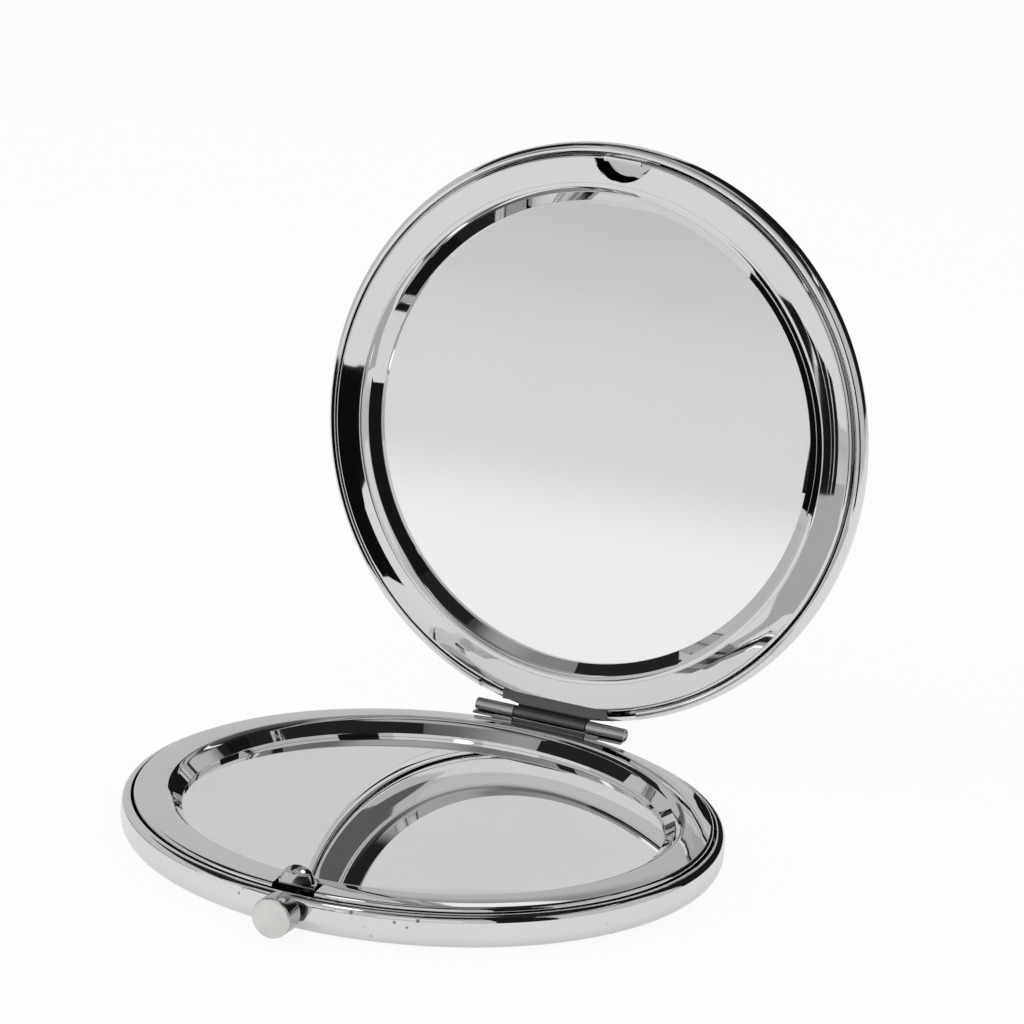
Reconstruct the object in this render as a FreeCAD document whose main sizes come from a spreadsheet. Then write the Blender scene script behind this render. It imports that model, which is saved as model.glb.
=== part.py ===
# Round compact mirror: two chrome-plated pressed halves on a barrel hinge,
# held shut by a push-button catch. Sizes in millimetres, angles in degrees.
#
# Frame: the origin is the middle of the flat rest face under the base, +Z up,
# the hinge lies on the +Y side and the push button on the -Y side.
# Each half is modelled flat on its back, then the lid is swung up about the hinge.
import FreeCAD
import Part
import Sketcher
import math
import os

SIZES = [
    # Pressed shells
    ("shell_radius", 35.0, "outside radius of both halves"),
    ("shell_sheet", 0.5, "sheet thickness of the shells"),
    ("shell_edge_round", 1.6, "outside round between back and wall"),
    ("rim_drop", 0.8, "turned-in rim below the crest of the frame"),
    ("rim_lip", 1.05, "how far the rim turns in from the wall"),
    ("rim_round", 1.0, "outside round of the turned-in rim"),
    # Pressed mirror frames
    ("base_height", 4.9, "crest of the base frame above its back"),
    ("lid_height", 4.0, "crest of the lid frame above its back"),
    ("frame_sheet", 0.4, "sheet thickness of the frames"),
    ("frame_gap", 0.3, "gap between the shell rim and the frame"),
    ("frame_edge_drop", 0.3, "outer edge of the frame below its crest"),
    ("frame_edge_round", 0.7, "outside round of the frame's outer edge"),
    ("skirt_foot_round", 0.3, "outside round of the skirt's foot, clear of the shell's corner"),
    ("land_width", 3.65, "flat land from the outer edge to the crest"),
    ("crest_round", 1.2, "outside round along the crest"),
    ("facet_width", 0.75, "upper bevel inside the crest"),
    ("facet_drop", 0.4, "fall of the upper bevel"),
    ("lip_width", 1.25, "lower bevel down to the glass"),
    ("lip_drop", 1.2, "fall of the lower bevel"),
    # Mirrors and their pads
    ("mirror_thickness", 1.0, "glass thickness"),
    ("mirror_edge_gap", 1.4, "glass edge inside the crest"),
    ("mirror_play", 0.02, "play between the glass and the frame"),
    ("mirror_edge_round", 0.2, "ground edge of the glass"),
    ("pad_inset", 0.2, "foam pad edge inside the glass edge"),
    # Hinge
    ("closing_gap", 0.2, "gap between the two crests when shut"),
    ("hinge_offset", 0.2, "hinge axis outside the shell wall"),
    ("hinge_length", 19.7, "all three knuckles with their gaps"),
    ("middle_knuckle", 9.5, "length of the lid's knuckle"),
    ("knuckle_gap", 0.1, "gap between neighbouring knuckles"),
    ("knuckle_diameter", 1.9, "outside diameter of the rolled knuckles"),
    ("pin_diameter", 0.9, "hinge pin"),
    ("pin_clearance", 0.05, "radial clearance of the pin"),
    ("pin_end_round", 0.2, "rounded pin ends"),
    ("leaf_sheet", 0.4, "sheet thickness of the hinge leaves"),
    ("leaf_drop", 2.4, "depth of the flange that lies on the frame"),
    ("leaf_side_inset", 0.4, "flange ends inside the ends of the flat"),
    ("leaf_room", 0.25, "room in a leaf around the other leaf's knuckle"),
    ("flat_inset", 0.8, "hinge flat inside the frame's outer edge"),
    ("base_notch_room", 2.0, "notch in the base shell beyond each end of the hinge"),
    ("lid_notch_room", 0.6, "notch in the lid shell beyond each end of the hinge"),
    ("notch_depth_room", 0.95, "shell notch below the knuckles"),
    # Push button and catch
    ("button_rise", 0.12, "button axis above half the height of the base"),
    ("button_diameter", 4.7, "turned button cap"),
    ("button_length", 3.0, "length of the cap"),
    ("button_edge", 0.3, "broken edges of the cap"),
    ("button_standoff", 0.9, "cap off the shell wall, more than the travel"),
    ("stem_diameter", 1.7, "stem of the button"),
    ("stem_clearance", 0.1, "radial clearance of the stem in the wall"),
    ("rivet_diameter", 1.0, "stem tail riveted through the hook plate"),
    ("rivet_length", 0.5, "stem tail behind the hook plate"),
    ("rivet_fit", 0.02, "radial fit of the tail in the hook plate"),
    ("press_travel", 0.75, "travel of the button"),
    ("hook_width", 4.6, "width of the hook plate"),
    ("hook_sheet", 0.55, "sheet thickness of the hook plate"),
    ("hook_inset", 0.9, "hook plate inside the frame's outer edge"),
    ("hook_rise", 2.1, "domed hook top above the crest"),
    ("hook_crown", 0.4, "flat left on the hook's domed top"),
    ("nose_reach", 0.65, "nose in front of the hook plate"),
    ("nose_edge", 0.3, "blunt front edge of the nose"),
    ("nose_ramp", 0.6, "height of the ramp above the nose"),
    ("catch_clearance", 0.05, "nose above the striker when shut"),
    ("slot_clearance", 0.35, "slot in the base frame beside the hook"),
    ("slot_end_room", 0.2, "slot beyond the pressed hook"),
    ("foot_width", 6.8, "sliding foot of the hook plate"),
    ("foot_sheet", 0.35, "thickness of the foot"),
    ("foot_play", 0.05, "play of the foot in its guide"),
    ("foot_end_room", 0.2, "pressed foot off the guide's back"),
    ("foot_stop_gap", 0.05, "foot corners off the frame skirt at rest"),
    ("guide_sheet", 0.3, "sheet thickness of the guide"),
    ("guide_wall", 2.9, "height of the guide's walls"),
    ("guide_side_play", 0.1, "play beside the foot"),
    ("guide_back_gap", 0.35, "guide back off the glass and pad"),
    ("keeper_width", 0.7, "keeper tabs over the foot"),
    ("keeper_length", 1.6, "length of the keeper tabs"),
    ("spring_wire", 0.25, "wire of the return spring"),
    ("spring_diameter", 1.7, "outside diameter of the return spring"),
    ("spring_turns", 3, "full turns of the return spring"),
    ("spring_end_play", 0.02, "play at each end of the spring"),
    # Hook opening and striker in the lid
    ("opening_radius", 4.1, "half-moon opening in the lid frame"),
    ("opening_offset", 1.1, "centre of the opening outside the frame's edge"),
    ("window_depth", 2.75, "bottom of the skirt window below the crest"),
    ("striker_width", 4.8, "striker tab"),
    ("striker_reach", 0.75, "striker inside the frame's edge"),
    ("striker_sheet", 0.5, "thickness of the striker"),
    ("striker_drop", 0.3, "striker below the crest"),
    ("window_side_room", 0.4, "skirt window beside the hook"),
    # Pose in which the compact stands open
    ("lid_angle", 96.5, "opening of the lid from shut"),
]

# Limits of the rounds that sheet takes: share of the fold they lie on, share of the sheet.
LARGEST_ROUND = 0.9
SMALLEST_ROUND = 0.2

doc = FreeCAD.newDocument("compact_mirror")
sheet = doc.addObject("Spreadsheet::Sheet", "Sizes")
for row, (alias, size, note) in enumerate(SIZES, start=1):
    sheet.set(f"A{row}", str(size))
    sheet.setAlias(f"A{row}", alias)
    sheet.set(f"B{row}", note)
doc.recompute()

# Sizes that follow from the driving ones, as expressions on the sheet.
FRAME_RADIUS = "(Sizes.shell_radius - Sizes.rim_lip - Sizes.frame_gap)"
SKIRT_INSIDE = f"({FRAME_RADIUS} - Sizes.frame_sheet)"
CREST_RADIUS = f"({FRAME_RADIUS} - Sizes.land_width)"
FACET_RADIUS = f"({CREST_RADIUS} - Sizes.facet_width)"
WINDOW_RADIUS = f"({FACET_RADIUS} - Sizes.lip_width)"
MIRROR_RADIUS = f"({CREST_RADIUS} - Sizes.mirror_edge_gap)"
HINGE_Y = "(Sizes.shell_radius + Sizes.hinge_offset)"
HINGE_Z = "(Sizes.base_height + Sizes.closing_gap / 2)"
LID_HINGE_Z = "(Sizes.lid_height + Sizes.closing_gap / 2)"
KNUCKLE_RADIUS = "(Sizes.knuckle_diameter / 2)"
BORE_RADIUS = "(Sizes.pin_diameter / 2 + Sizes.pin_clearance)"
FLAT_Y = f"({FRAME_RADIUS} - Sizes.flat_inset)"
FLAT_HALF = f"sqrt({FRAME_RADIUS}^2 - {FLAT_Y}^2)"
LEAF_HALF = f"({FLAT_HALF} - Sizes.leaf_side_inset)"
MIDDLE_HALF = "(Sizes.middle_knuckle / 2)"
OUTER_START = f"({MIDDLE_HALF} + Sizes.knuckle_gap)"
HOOK_FRONT = f"({FRAME_RADIUS} - Sizes.hook_inset)"
HOOK_BACK = f"({HOOK_FRONT} - Sizes.hook_sheet)"
HOOK_TOP = "(Sizes.base_height + Sizes.hook_rise)"
HOOK_HALF = "(Sizes.hook_width / 2)"
HOOK_DOME = f"({HOOK_HALF} - Sizes.hook_crown / 2)"
STRIKER_TOP = "(Sizes.lid_height - Sizes.striker_drop)"
STRIKER_BACK = f"({STRIKER_TOP} - Sizes.striker_sheet)"
NOSE_BOTTOM = f"({HINGE_Z} + {LID_HINGE_Z} - {STRIKER_BACK} + Sizes.catch_clearance)"
NOSE_FRONT_TOP = f"({NOSE_BOTTOM} + Sizes.nose_edge)"
NOSE_TOP = f"min({NOSE_FRONT_TOP} + Sizes.nose_ramp; {HOOK_TOP} - Sizes.nose_edge / 2)"
NOSE_TIP = f"({HOOK_FRONT} + Sizes.nose_reach)"
FOOT_HALF = "(Sizes.foot_width / 2)"
FOOT_FRONT = f"(sqrt({SKIRT_INSIDE}^2 - {FOOT_HALF}^2) - Sizes.foot_stop_gap)"
FOOT_BOTTOM = "(Sizes.shell_sheet + Sizes.guide_sheet + Sizes.foot_play)"
FOOT_TOP = f"({FOOT_BOTTOM} + Sizes.foot_sheet)"
SLOT_HALF = f"({HOOK_HALF} + Sizes.slot_clearance)"
SLOT_END = f"({HOOK_BACK} - Sizes.press_travel - Sizes.slot_end_room)"
GUIDE_BACK = f"({MIRROR_RADIUS} + Sizes.guide_back_gap)"
GUIDE_INSIDE = f"({GUIDE_BACK} + Sizes.guide_sheet)"
GUIDE_HALF = f"({FOOT_HALF} + Sizes.guide_side_play)"
GUIDE_SIDE = f"({GUIDE_HALF} + Sizes.guide_sheet)"
GUIDE_FRONT = f"(sqrt({SKIRT_INSIDE}^2 - {GUIDE_SIDE}^2) - Sizes.foot_stop_gap)"
GUIDE_FLOOR = "(Sizes.shell_sheet + Sizes.guide_sheet)"
FOOT_BACK = f"({GUIDE_INSIDE} + Sizes.press_travel + Sizes.foot_end_room)"
BUTTON_Z = "(Sizes.base_height / 2 + Sizes.button_rise)"
CAP_BACK = "(Sizes.shell_radius + Sizes.button_standoff)"
CAP_FACE = f"({CAP_BACK} + Sizes.button_length)"
OPENING_Y = f"({FRAME_RADIUS} + Sizes.opening_offset)"
WINDOW_BOTTOM = "(Sizes.lid_height - Sizes.window_depth)"
KNUCKLE_CLEAR = f"({HINGE_Y} - {KNUCKLE_RADIUS} - Sizes.leaf_room)"
BUTTON_POSE = f"placement(vector(0; 0; {BUTTON_Z}); rotation(vector(1; 0; 0); 90))"
LID_POSE = (f"placement(vector(0; {HINGE_Y}; {HINGE_Z});"
            " rotation(vector(1; 0; 0); 180 - Sizes.lid_angle))"
            f" * placement(vector(0; {HINGE_Y}; -{LID_HINGE_Z}); rotation(vector(0; 0; 1); 180))")


def crest(half):
    """Top of a half's frame; half is base or lid."""
    return f"Sizes.{half}_height"


def facet_height(half):
    """Crease between the two bevels of a half's frame."""
    return f"({crest(half)} - Sizes.facet_drop)"


def lip_height(half):
    """Top of the frame's lip where it ends over the glass."""
    return f"({facet_height(half)} - Sizes.lip_drop)"


def mirror_top(half):
    """Face of the glass, just under the frame's lip."""
    return f"({lip_height(half)} - Sizes.frame_sheet - Sizes.mirror_play)"


def mirror_back(half):
    """Back of the glass, on the foam pad."""
    return f"({mirror_top(half)} - Sizes.mirror_thickness)"


def hinge_height(half):
    """Hinge axis above a half's back, midway between the crests when shut."""
    return f"({crest(half)} + Sizes.closing_gap / 2)"


def web_bottom(half):
    """Underside of a hinge leaf's web, level with the bottom of its knuckle."""
    return f"({hinge_height(half)} - {KNUCKLE_RADIUS})"


def value(expression):
    """Number that an expression on the sheet gives."""
    return float(sheet.evalExpression(expression))


def new_body(label):
    """Empty body of one sub-part; lid pieces swing up with the lid."""
    body = doc.addObject("PartDesign::Body", label)
    body.Label = label
    if label.startswith("lid_"):
        body.setExpression("Placement", LID_POSE)
    return body


def new_sketch(body, name, role, lift="0"):
    """Sketch on one of the body's own planes, moved along the plane's normal by lift."""
    sketch = body.newObject("Sketcher::SketchObject", f"{body.Label}_{name}")
    planes = [plane for plane in body.Origin.OriginFeatures if plane.Role == role]
    sketch.AttachmentSupport = [(planes[0], "")]
    sketch.MapMode = "FlatFace"
    sketch.setExpression("AttachmentOffset.Base.z", lift)
    return sketch


def hold(sketch, kind, geometry, point, expression):
    """Tie one coordinate of a point to the sheet."""
    index = sketch.addConstraint(
        Sketcher.Constraint(kind, -1, 1, geometry, point, value(expression)))
    sketch.setExpression(f"Constraints[{index}]", expression)


def outline(sketch, corners):
    """Closed run of straight lines; a corner with a third entry is rounded to that radius."""
    points = [FreeCAD.Vector(value(corner[0]), value(corner[1]), 0) for corner in corners]
    starts = list(points)
    ends = list(points)
    arcs = []
    for i, corner in enumerate(corners):
        if len(corner) < 3:
            continue
        radius = value(corner[2])
        before = (points[i - 1] - points[i]).normalize()
        after = (points[(i + 1) % len(points)] - points[i]).normalize()
        half_turn = before.getAngle(after) / 2
        ends[i] = points[i] + before * (radius / math.tan(half_turn))
        starts[i] = points[i] + after * (radius / math.tan(half_turn))
        middle = (before + after).normalize()
        bulge = points[i] + middle * (radius / math.sin(half_turn) - radius)
        arcs.append((i, Part.Arc(ends[i], bulge, starts[i])))
    count = len(points)
    lines = [sketch.addGeometry(Part.LineSegment(starts[i], ends[(i + 1) % count]))
             for i in range(count)]
    rounded = {i: sketch.addGeometry(arc) for i, arc in arcs}
    for i, corner in enumerate(corners):
        incoming = lines[i - 1]
        if i in rounded:
            arc = rounded[i]
            corner_point = sketch.addGeometry(Part.Point(points[i]), True)
            first = 1 if near(sketch.getPoint(arc, 1), ends[i]) else 2
            sketch.addConstraint(Sketcher.Constraint("Tangent", incoming, 2, arc, first))
            sketch.addConstraint(Sketcher.Constraint("Tangent", lines[i], 1, arc, 3 - first))
            sketch.addConstraint(Sketcher.Constraint("PointOnObject", corner_point, 1, incoming))
            sketch.addConstraint(Sketcher.Constraint("PointOnObject", corner_point, 1, lines[i]))
            index = sketch.addConstraint(Sketcher.Constraint("Radius", arc, value(corner[2])))
            sketch.setExpression(f"Constraints[{index}]", corner[2])
            hold(sketch, "DistanceX", corner_point, 1, corner[0])
            hold(sketch, "DistanceY", corner_point, 1, corner[1])
        else:
            sketch.addConstraint(Sketcher.Constraint("Coincident", incoming, 2, lines[i], 1))
            hold(sketch, "DistanceX", lines[i], 1, corner[0])
            hold(sketch, "DistanceY", lines[i], 1, corner[1])


def near(first, second):
    """True where two points are the same to a thousandth."""
    return first.distanceToPoint(second) < 0.001


def rectangle(sketch, left, bottom, right, top):
    """Rectangle between two corners."""
    outline(sketch, [(left, bottom), (right, bottom), (right, top), (left, top)])


def circle(sketch, x, y, radius):
    """Circle tied to the sheet by its centre and radius."""
    centre = FreeCAD.Vector(value(x), value(y), 0)
    index = sketch.addGeometry(Part.Circle(centre, FreeCAD.Vector(0, 0, 1), value(radius)))
    hold(sketch, "DistanceX", index, 3, x)
    hold(sketch, "DistanceY", index, 3, y)
    constraint = sketch.addConstraint(Sketcher.Constraint("Radius", index, value(radius)))
    sketch.setExpression(f"Constraints[{constraint}]", radius)


def revolve(body, sketch):
    """Full turn of a sketch about its vertical axis."""
    feature = body.newObject("PartDesign::Revolution", f"{sketch.Name}_turned")
    feature.Profile = sketch
    feature.ReferenceAxis = (sketch, ["V_Axis"])
    feature.Angle = 360
    sketch.Visibility = False
    doc.recompute()
    return feature


def pad(body, sketch, length, midplane=False, reverse=False):
    """Add a sketch's outline, drawn out by length."""
    feature = body.newObject("PartDesign::Pad", f"{sketch.Name}_pad")
    feature.Profile = sketch
    feature.SideType = "Symmetric" if midplane else "One side"
    feature.Reversed = reverse
    feature.setExpression("Length", length)
    doc.recompute()
    return feature


def pocket(body, sketch, length, midplane=False, reverse=False):
    """Cut a sketch's outline away to a depth, and make sure that it cut something."""
    before = body.Shape.Volume
    feature = body.newObject("PartDesign::Pocket", f"{sketch.Name}_cut")
    feature.Profile = sketch
    feature.SideType = "Symmetric" if midplane else "One side"
    feature.Reversed = reverse
    feature.setExpression("Length", length)
    doc.recompute()
    if not body.Shape.Volume < before:
        raise RuntimeError(f"{feature.Name} cuts nothing")
    return feature


def half_moon(sketch, radius, rim):
    """Part of the hook opening's circle that lies inside the rim circle about the middle."""
    reach, edge, offset = value(radius), value(rim), value(OPENING_Y)
    tip_y = (reach ** 2 - edge ** 2 - offset ** 2) / (2 * offset)
    tip_x = math.sqrt(edge ** 2 - tip_y ** 2)
    left = FreeCAD.Vector(-tip_x, tip_y, 0)
    right = FreeCAD.Vector(tip_x, tip_y, 0)
    inner = sketch.addGeometry(Part.Arc(left, FreeCAD.Vector(0, reach - offset, 0), right))
    outer = sketch.addGeometry(Part.Arc(left, FreeCAD.Vector(0, -edge, 0), right))
    for end in (left, right):
        ends = [1 if near(sketch.getPoint(arc, 1), end) else 2 for arc in (inner, outer)]
        sketch.addConstraint(Sketcher.Constraint("Coincident", inner, ends[0], outer, ends[1]))
    for arc, centre_y, size in ((inner, f"-{OPENING_Y}", radius), (outer, "0", rim)):
        hold(sketch, "DistanceX", arc, 3, "0")
        hold(sketch, "DistanceY", arc, 3, centre_y)
        index = sketch.addConstraint(Sketcher.Constraint("Radius", arc, value(size)))
        sketch.setExpression(f"Constraints[{index}]", size)


# Shells: drawn cups with a turned-in rim and a notch for the hinge

def cup_shell(half):
    """Pressed cup of one half, flat on its back."""
    body = new_body(f"{half}_shell")
    wall_inside = "(Sizes.shell_radius - Sizes.shell_sheet)"
    rim_inside = "(Sizes.shell_radius - Sizes.rim_lip)"
    rim_top = f"({crest(half)} - Sizes.rim_drop)"
    rim_under = f"({rim_top} - Sizes.shell_sheet)"
    rim_round = f"min(Sizes.rim_round; {LARGEST_ROUND} * Sizes.rim_lip)"
    least_round = f"{SMALLEST_ROUND} * Sizes.shell_sheet"
    section = new_sketch(body, "section", "XZ_Plane")
    outline(section, [
        ("0", "0"),
        ("Sizes.shell_radius", "0", "Sizes.shell_edge_round"),
        ("Sizes.shell_radius", rim_top, rim_round),
        (rim_inside, rim_top),
        (rim_inside, rim_under),
        (wall_inside, rim_under, f"max({rim_round} - Sizes.shell_sheet; {least_round})"),
        (wall_inside, "Sizes.shell_sheet",
         f"max(Sizes.shell_edge_round - Sizes.shell_sheet; {least_round})"),
        ("0", "Sizes.shell_sheet"),
    ])
    revolve(body, section)
    notch = new_sketch(body, "hinge_notch", "XZ_Plane")
    notch_half = f"(Sizes.hinge_length / 2 + Sizes.{half}_notch_room)"
    notch_floor = f"{web_bottom(half)} - Sizes.notch_depth_room"
    rectangle(notch, f"-{notch_half}", notch_floor, notch_half, f"2 * {crest(half)}")
    pocket(body, notch, "2 * Sizes.shell_radius")
    return body


base_shell = cup_shell("base")
stem_hole = new_sketch(base_shell, "stem_hole", "XZ_Plane")
circle(stem_hole, "0", BUTTON_Z, "Sizes.stem_diameter / 2 + Sizes.stem_clearance")
pocket(base_shell, stem_hole, "2 * Sizes.shell_radius", reverse=True)
lid_shell = cup_shell("lid")


# Mirror frames: the outside form of each pressed ring less the same form one sheet further in

def frame_outside(half):
    """Outside form of a frame, solid down to the shell floor, with the flat for the hinge."""
    body = doc.addObject("PartDesign::Body", f"outside_of_{half}_frame")
    section = new_sketch(body, "section", "XZ_Plane")
    outline(section, [
        (FRAME_RADIUS, "Sizes.shell_sheet",
         f"min(Sizes.skirt_foot_round; {LARGEST_ROUND} * Sizes.frame_sheet)"),
        (FRAME_RADIUS, f"{crest(half)} - Sizes.frame_edge_drop", "Sizes.frame_edge_round"),
        (CREST_RADIUS, crest(half), "Sizes.crest_round"),
        (FACET_RADIUS, facet_height(half)),
        (WINDOW_RADIUS, lip_height(half)),
        (WINDOW_RADIUS, "Sizes.shell_sheet"),
    ])
    revolve(body, section)
    flat_cut(body, FLAT_Y)
    return body


def frame_inside(half):
    """Hollow under a frame, one sheet thickness inside its outside form."""
    body = doc.addObject("PartDesign::Body", f"inside_of_{half}_frame")
    clear = "Sizes.frame_sheet"
    section = new_sketch(body, "section", "XZ_Plane")
    outline(section, [
        (SKIRT_INSIDE, "0"),
        (SKIRT_INSIDE, f"{crest(half)} - Sizes.frame_edge_drop - {clear}",
         f"max(Sizes.frame_edge_round - {clear}; {SMALLEST_ROUND} * {clear})"),
        (CREST_RADIUS, f"{crest(half)} - {clear}"),
        (FACET_RADIUS, f"{facet_height(half)} - {clear}"),
        (WINDOW_RADIUS, f"{lip_height(half)} - {clear}"),
        (f"{WINDOW_RADIUS} - {clear}", f"{lip_height(half)} - {clear}"),
        (f"{WINDOW_RADIUS} - {clear}", "0"),
    ])
    revolve(body, section)
    flat_cut(body, f"{FLAT_Y} - {clear}")
    return body


def flat_cut(body, flat_y):
    """Trim a ring along the straight fold at the hinge."""
    trim = new_sketch(body, "hinge_flat", "XY_Plane")
    rectangle(trim, f"-{FRAME_RADIUS}", flat_y, FRAME_RADIUS, f"2 * {FRAME_RADIUS}")
    pocket(body, trim, f"4 * {FRAME_RADIUS}", midplane=True)


def pressed_frame(label, outside, inside):
    """Sheet-metal ring left between the outside form and the hollow."""
    ring = doc.addObject("Part::Cut", label)
    ring.Label = label
    ring.Base = outside
    ring.Tool = inside
    if label.startswith("lid_"):
        ring.setExpression("Placement", LID_POSE)
    doc.recompute()
    return ring


base_outside = frame_outside("base")
hook_slot = new_sketch(base_outside, "hook_slot", "XY_Plane", lift=FOOT_TOP)
rectangle(hook_slot, f"-{SLOT_HALF}", f"-2 * {FRAME_RADIUS}", SLOT_HALF, f"-{SLOT_END}")
pocket(base_outside, hook_slot, "2 * Sizes.base_height", reverse=True)
base_frame = pressed_frame("base_frame", base_outside, frame_inside("base"))

lid_outside = frame_outside("lid")
opening = new_sketch(lid_outside, "hook_opening", "XY_Plane", lift=WINDOW_BOTTOM)
half_moon(opening, "Sizes.opening_radius", SKIRT_INSIDE)
pocket(lid_outside, opening, "2 * Sizes.lid_height", reverse=True)
window_half = f"({HOOK_HALF} + Sizes.window_side_room)"
window = new_sketch(lid_outside, "skirt_window", "XZ_Plane",
                    lift=f"{FRAME_RADIUS} - Sizes.striker_reach")
rectangle(window, f"-{window_half}", WINDOW_BOTTOM, window_half, STRIKER_BACK)
pocket(lid_outside, window, "Sizes.opening_radius", reverse=True)
striker = new_sketch(lid_outside, "striker", "XY_Plane", lift=STRIKER_BACK)
rectangle(striker, "-Sizes.striker_width / 2", f"-{SKIRT_INSIDE} - Sizes.frame_sheet / 2",
          "Sizes.striker_width / 2", f"-{FRAME_RADIUS} + Sizes.striker_reach")
pad(lid_outside, striker, "Sizes.striker_sheet")
lid_frame = pressed_frame("lid_frame", lid_outside, frame_inside("lid"))


# Mirrors and foam pads

def mirror(half):
    """Round glass, held up against the frame's lip."""
    body = new_body(f"{half}_mirror")
    section = new_sketch(body, "section", "XZ_Plane")
    outline(section, [
        ("0", mirror_back(half)),
        (MIRROR_RADIUS, mirror_back(half), "Sizes.mirror_edge_round"),
        (MIRROR_RADIUS, mirror_top(half), "Sizes.mirror_edge_round"),
        ("0", mirror_top(half)),
    ])
    revolve(body, section)
    return body


def foam_pad(half):
    """Foam disc between the shell floor and the glass."""
    disc = doc.addObject("Part::Cylinder", f"{half}_foam_pad")
    disc.Label = f"{half}_foam_pad"
    disc.setExpression("Radius", f"{MIRROR_RADIUS} - Sizes.pad_inset")
    disc.setExpression("Height", f"{mirror_back(half)} - Sizes.shell_sheet")
    seat = "placement(vector(0; 0; Sizes.shell_sheet); rotation(vector(0; 0; 1); 0))"
    disc.setExpression("Placement", f"{LID_POSE} * {seat}" if half == "lid" else seat)
    return disc


base_mirror = mirror("base")
base_foam_pad = foam_pad("base")
lid_mirror = mirror("lid")
lid_foam_pad = foam_pad("lid")


# Hinge: two leaves with rolled knuckles on one pin

def hinge_leaf(half, web_length):
    """Leaf with its flange on the frame's flat and one long knuckle of the given length."""
    body = new_body(f"{half}_hinge_leaf")
    axis_z = hinge_height(half)
    web_under = web_bottom(half)
    web_top = f"({web_under} + Sizes.leaf_sheet)"
    flange = new_sketch(body, "flange", "YZ_Plane")
    flange_out = f"{FLAT_Y} + Sizes.leaf_sheet"
    flange_foot = f"{web_top} - Sizes.leaf_drop"
    outline(flange, [
        (FLAT_Y, flange_foot),
        (flange_out, flange_foot),
        (flange_out, web_under),
        (KNUCKLE_CLEAR, web_under),
        (KNUCKLE_CLEAR, web_top),
        (FLAT_Y, web_top, "Sizes.leaf_sheet"),
    ])
    pad(body, flange, f"2 * {LEAF_HALF}", midplane=True)
    web = new_sketch(body, "web", "YZ_Plane")
    rectangle(web, KNUCKLE_CLEAR, web_under, HINGE_Y, web_top)
    pad(body, web, web_length, midplane=True)
    knuckle = new_sketch(body, "knuckle", "YZ_Plane")
    circle(knuckle, HINGE_Y, axis_z, KNUCKLE_RADIUS)
    pad(body, knuckle, web_length, midplane=True)
    bore = new_sketch(body, "bore", "YZ_Plane")
    circle(bore, HINGE_Y, axis_z, BORE_RADIUS)
    pocket(body, bore, f"2 * {web_length}", midplane=True)
    return body


base_hinge_leaf = hinge_leaf("base", "Sizes.hinge_length")
gap = new_sketch(base_hinge_leaf, "middle_gap", "XY_Plane")
rectangle(gap, f"-{OUTER_START}", KNUCKLE_CLEAR, OUTER_START, f"2 * {HINGE_Y}")
pocket(base_hinge_leaf, gap, f"4 * {HINGE_Z}", midplane=True)
lid_hinge_leaf = hinge_leaf("lid", "Sizes.middle_knuckle")

hinge_pin = new_body("hinge_pin")
pin_section = new_sketch(hinge_pin, "section", "XZ_Plane")
outline(pin_section, [
    ("0", "-Sizes.hinge_length / 2"),
    ("Sizes.pin_diameter / 2", "-Sizes.hinge_length / 2", "Sizes.pin_end_round"),
    ("Sizes.pin_diameter / 2", "Sizes.hinge_length / 2", "Sizes.pin_end_round"),
    ("0", "Sizes.hinge_length / 2"),
])
revolve(hinge_pin, pin_section)
hinge_pin.setExpression(
    "Placement", f"placement(vector(0; {HINGE_Y}; {HINGE_Z}); rotation(vector(0; 1; 0); 90))")


# Catch: button, sliding hook, its guide and the return spring

latch_button = new_body("latch_button")
button_section = new_sketch(latch_button, "section", "XZ_Plane")
outline(button_section, [
    ("0", f"{HOOK_BACK} - Sizes.rivet_length"),
    ("Sizes.rivet_diameter / 2", f"{HOOK_BACK} - Sizes.rivet_length"),
    ("Sizes.rivet_diameter / 2", HOOK_FRONT),
    ("Sizes.stem_diameter / 2", HOOK_FRONT),
    ("Sizes.stem_diameter / 2", CAP_BACK),
    ("Sizes.button_diameter / 2", CAP_BACK, "Sizes.button_edge"),
    ("Sizes.button_diameter / 2", CAP_FACE, "Sizes.button_edge"),
    ("0", CAP_FACE),
])
revolve(latch_button, button_section)
latch_button.setExpression("Placement", BUTTON_POSE)

latch_slider = new_body("latch_slider")
hook_side = new_sketch(latch_slider, "hook_side", "YZ_Plane")
outline(hook_side, [
    (f"-{HOOK_FRONT}", FOOT_BOTTOM),
    (f"-{HOOK_BACK}", FOOT_BOTTOM),
    (f"-{HOOK_BACK}", HOOK_TOP),
    (f"-{HOOK_FRONT}", HOOK_TOP),
    (f"-{HOOK_FRONT}", NOSE_TOP),
    (f"-{NOSE_TIP}", NOSE_FRONT_TOP),
    (f"-{NOSE_TIP}", NOSE_BOTTOM),
    (f"-{HOOK_FRONT}", NOSE_BOTTOM),
])
pad(latch_slider, hook_side, "Sizes.hook_width", midplane=True)
dome = new_sketch(latch_slider, "dome", "XZ_Plane")
rectangle(dome, "-Sizes.hook_width", "-Sizes.hook_width", "Sizes.hook_width", f"2 * {HOOK_TOP}")
outline(dome, [
    (f"-{HOOK_HALF}", "-Sizes.hook_width / 2"),
    (HOOK_HALF, "-Sizes.hook_width / 2"),
    (HOOK_HALF, HOOK_TOP, HOOK_DOME),
    (f"-{HOOK_HALF}", HOOK_TOP, HOOK_DOME),
])
pocket(latch_slider, dome, "2 * Sizes.shell_radius", reverse=True)
foot = new_sketch(latch_slider, "foot", "XY_Plane", lift=FOOT_BOTTOM)
rectangle(foot, f"-{FOOT_HALF}", f"-{FOOT_FRONT}", FOOT_HALF, f"-{FOOT_BACK}")
pad(latch_slider, foot, "Sizes.foot_sheet")
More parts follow.
